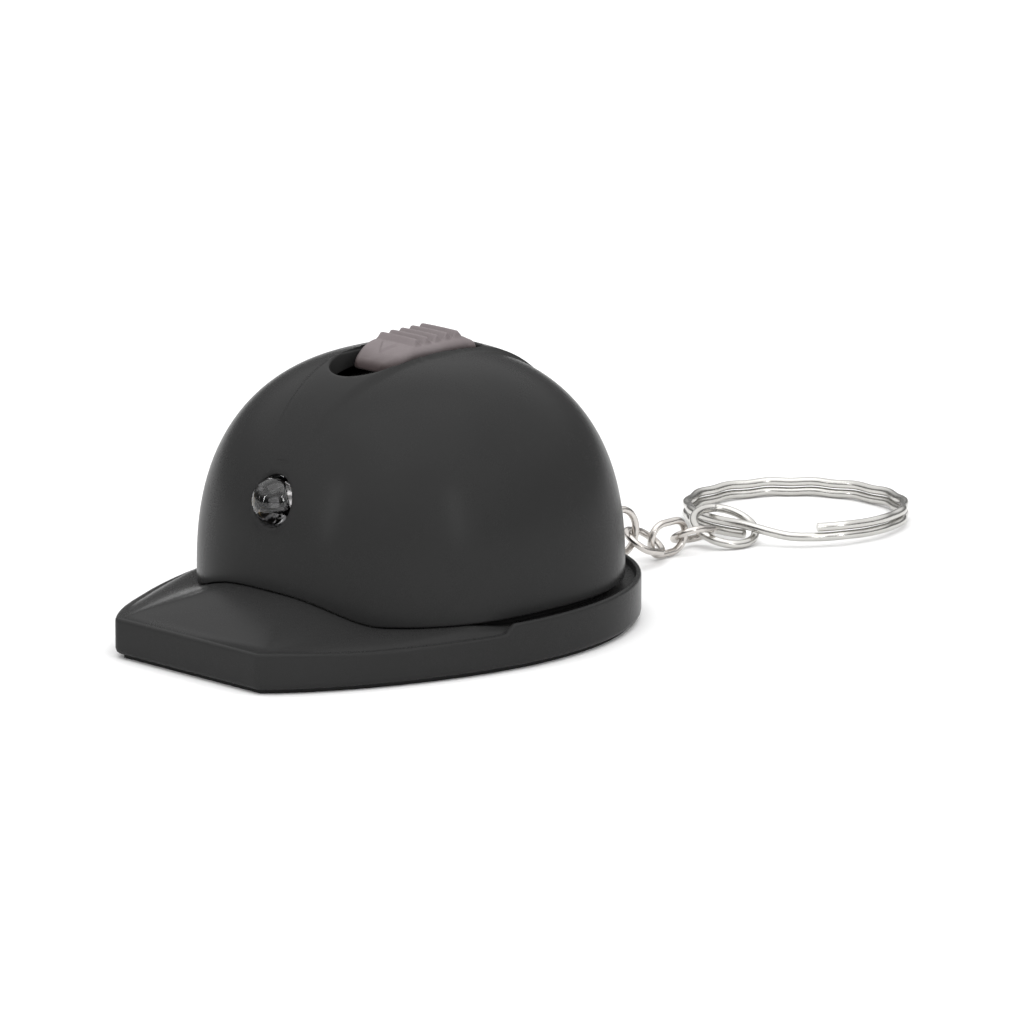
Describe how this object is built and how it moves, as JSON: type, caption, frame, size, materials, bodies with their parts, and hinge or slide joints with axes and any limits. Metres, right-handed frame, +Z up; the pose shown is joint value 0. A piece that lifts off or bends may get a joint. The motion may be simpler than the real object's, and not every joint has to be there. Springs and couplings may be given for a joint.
{
  "type": "helmet key-ring light",
  "caption": "Helmet-shaped pocket light with a front diode, a ribbed slide switch on the crown, and a chain with a split ring for keys.",
  "frame": {"origin": "on the dome's vertical axis, at the flat underside of the base plate", "axes": "+Z up, visor and diode towards -Y, chain leaving along +Y, +X to the wearer's left"},
  "size_m": [0.0462, 0.107, 0.0314],
  "materials": {
    "housing": "moulded, glossy dark grey",
    "button": "moulded, satin warm grey",
    "clear_epoxy": "clear water-like epoxy",
    "nickel": "bright nickel plate",
    "tinned": "tinned lead frame",
    "die": "light-emitting die",
    "inner_plastic": "moulded, matt black",
    "spring_metal": "phosphor bronze",
    "cell_steel": "stainless steel",
    "gasket": "nylon",
    "screw_steel": "zinc-plated steel"
  },
  "bodies": {
    "helmet": {"dome_shell": "housing", "brim": "housing", "base_plate": "housing", "led_lens": "clear_epoxy", "led_anvil_lead": "tinned", "led_post_lead": "tinned", "led_chip": "die", "switch_bridge": "inner_plastic", "battery_cradle": "inner_plastic", "contact_strip_front": "spring_metal", "contact_strip_rear": "spring_metal", "positive_contact": "spring_metal", "negative_contact": "spring_metal", "cell_can_front": "cell_steel", "cell_can_middle": "cell_steel", "cell_can_rear": "cell_steel", "cell_cap_front": "cell_steel", "cell_cap_middle": "cell_steel", "cell_cap_rear": "cell_steel", "cell_gaskets": "gasket", "base_screws": "screw_steel", "cradle_screws": "screw_steel", "bridge_screws": "screw_steel"},
    "slider": {"switch_button": "button", "switch_carrier": "inner_plastic", "switch_contact": "spring_metal"},
    "link_a": {"chain_link_a": "nickel"},
    "link_b": {"chain_link_b": "nickel"},
    "link_c": {"chain_link_c": "nickel"},
    "link_d": {"chain_link_d": "nickel"},
    "jump": {"jump_ring": "nickel"},
    "keyring": {"split_ring": "nickel"}
  },
  "joints": [
    {"name": "switch_slide", "type": "slide", "parent": "helmet", "child": "slider", "axis": [0, -1, 0], "range_m": [0, 0.003]},
    {"name": "link_a_turn", "type": "hinge", "parent": "helmet", "child": "link_a", "pos_m": [0, 0.0316, 0.0042], "axis": [1, 0, 0], "range_deg": [-65, 70]},
    {"name": "link_b_swing", "type": "hinge", "parent": "link_a", "child": "link_b", "pos_m": [0, 0.034, 0.0036], "axis": [0, 0.25, 0.9682], "range_deg": [-50, 60]},
    {"name": "link_c_swing", "type": "hinge", "parent": "link_b", "child": "link_c", "pos_m": [0.0001, 0.0379, 0.0016], "axis": [-1, 0, 0], "range_deg": [-60, 60]},
    {"name": "link_d_swing", "type": "hinge", "parent": "link_c", "child": "link_d", "pos_m": [0, 0.0418, 0.0023], "axis": [0, 0, -1], "range_deg": [-60, 60]},
    {"name": "jump_ring_turn", "type": "hinge", "parent": "link_d", "child": "jump", "pos_m": [-0.0004, 0.0486, 0.0019], "axis": [0.3816, -0.0638, 0.9221], "range_deg": [-60, 60]},
    {"name": "split_ring_swing", "type": "hinge", "parent": "jump", "child": "keyring", "pos_m": [-0.0003, 0.0499, 0.002], "axis": [0.9929, 0.114, -0.033], "range_deg": [-60, 4]}
  ]
}
